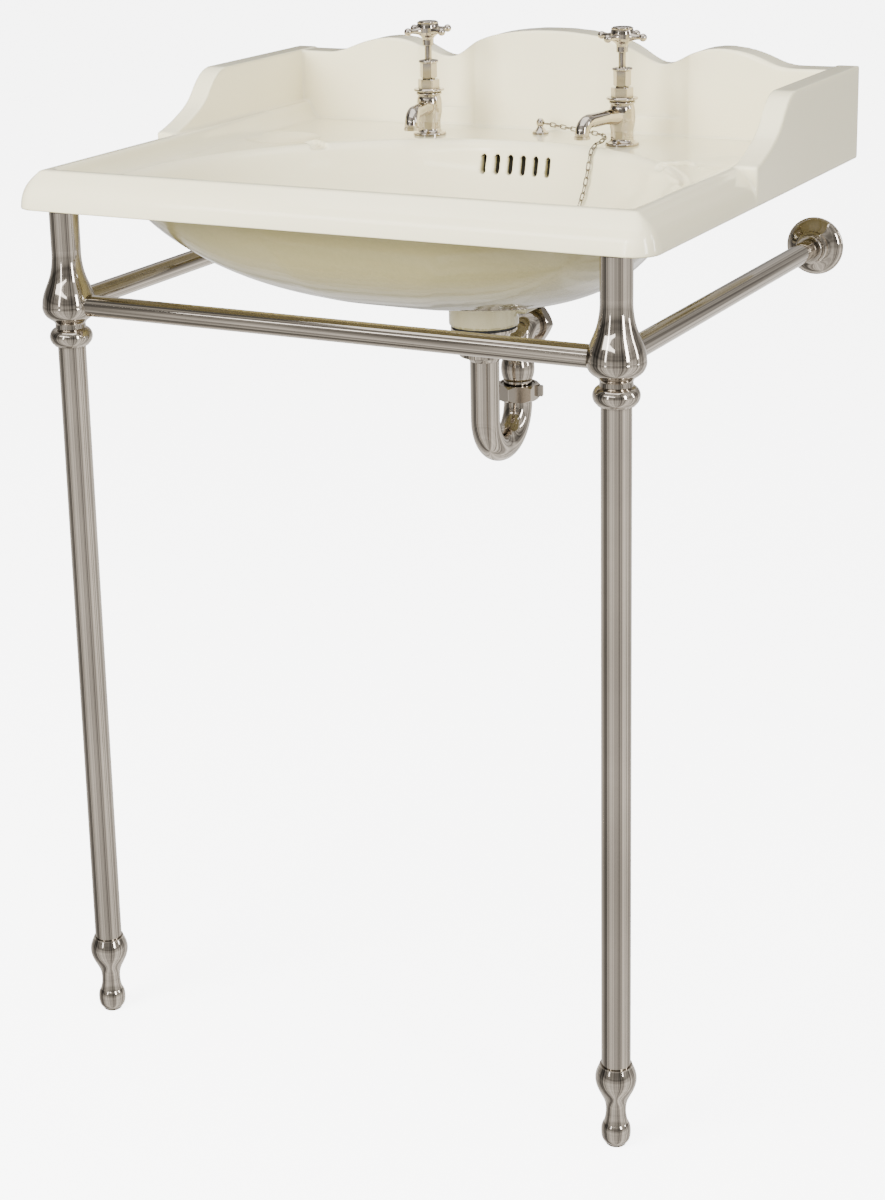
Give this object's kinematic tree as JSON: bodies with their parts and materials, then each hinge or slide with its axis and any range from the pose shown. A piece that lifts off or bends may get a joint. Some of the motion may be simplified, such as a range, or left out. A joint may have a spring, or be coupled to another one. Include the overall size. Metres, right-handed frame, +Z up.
{
  "type": "console sink with legs",
  "caption": "Wall-hung ceramic console basin on two turned metal legs joined by rails, with pillar taps, a chained plug and an exposed trap.",
  "frame": {"origin": "on the floor under the middle of the basin's plan", "axes": "+Z up, +Y towards the wall, +X to the right of somebody facing the basin"},
  "size_m": [0.686, 0.575, 1.034],
  "materials": {
    "ceramic": "gloss",
    "nickel": "polished",
    "brass": "satin",
    "rubber": "matte",
    "index": "gloss",
    "steel": "satin",
    "packing": "matte"
  },
  "bodies": {
    "stand_and_basin": {"basin": "ceramic", "front_rail": "nickel", "chain_stay": "nickel", "plug_chain": "nickel", "plug_eye": "nickel", "waste_flange": "nickel", "waste_backnut": "nickel", "trap_inlet_nut": "nickel", "trap_u_bend": "nickel", "trap_union_nut": "nickel", "trap_outlet_elbow": "nickel", "trap_outlet_nut": "nickel", "chain_stay_nut": "brass", "grub_screws": "steel", "plug": "rubber", "waste_gasket": "rubber", "waste_washer": "rubber", "left_leg_head": "nickel", "left_leg_collar": "nickel", "left_leg_tube": "nickel", "left_leg_foot": "nickel", "left_side_rail": "nickel", "left_wall_rose": "nickel", "left_leg_pad": "rubber", "left_wall_socket": "steel", "left_tap_body": "nickel", "left_tap_bonnet": "nickel", "left_gland_nut": "nickel", "left_tap_washer": "rubber", "left_tap_backnut": "brass", "left_gland_packing": "packing", "right_leg_head": "nickel", "right_leg_collar": "nickel", "right_leg_tube": "nickel", "right_leg_foot": "nickel", "right_side_rail": "nickel", "right_wall_rose": "nickel", "right_leg_pad": "rubber", "right_wall_socket": "steel", "right_tap_body": "nickel", "right_tap_bonnet": "nickel", "right_gland_nut": "nickel", "right_tap_washer": "rubber", "right_tap_backnut": "brass", "right_gland_packing": "packing"},
    "left_valve": {"left_valve_jumper": "brass", "left_valve_washer": "rubber"},
    "left_handle": {"left_tap_spindle": "nickel", "left_tap_handle": "nickel", "left_handle_screw": "brass", "left_tap_index": "index"},
    "right_valve": {"right_valve_jumper": "brass", "right_valve_washer": "rubber"},
    "right_handle": {"right_tap_spindle": "nickel", "right_tap_handle": "nickel", "right_handle_screw": "brass", "right_tap_index": "index"}
  },
  "joints": [
    {"name": "left_handle_turn", "type": "hinge", "parent": "stand_and_basin", "child": "left_handle", "pos_m": [-0.116, 0.1845, 0.998], "axis": [0, 0, 1], "range_deg": [0, 540]},
    {"name": "left_valve_lift", "type": "slide", "parent": "stand_and_basin", "child": "left_valve", "axis": [0, 0, 1], "range_m": [0, 0.0031]},
    {"name": "right_handle_turn", "type": "hinge", "parent": "stand_and_basin", "child": "right_handle", "pos_m": [0.116, 0.1845, 0.998], "axis": [0, 0, 1], "range_deg": [0, 540]},
    {"name": "right_valve_lift", "type": "slide", "parent": "stand_and_basin", "child": "right_valve", "axis": [0, 0, 1], "range_m": [0, 0.0031]}
  ],
  "couplings": [
    {"joint": "left_valve_lift", "follows": "left_handle_turn", "m_per_rad": 0.00031831},
    {"joint": "right_valve_lift", "follows": "right_handle_turn", "m_per_rad": 0.00031831}
  ]
}
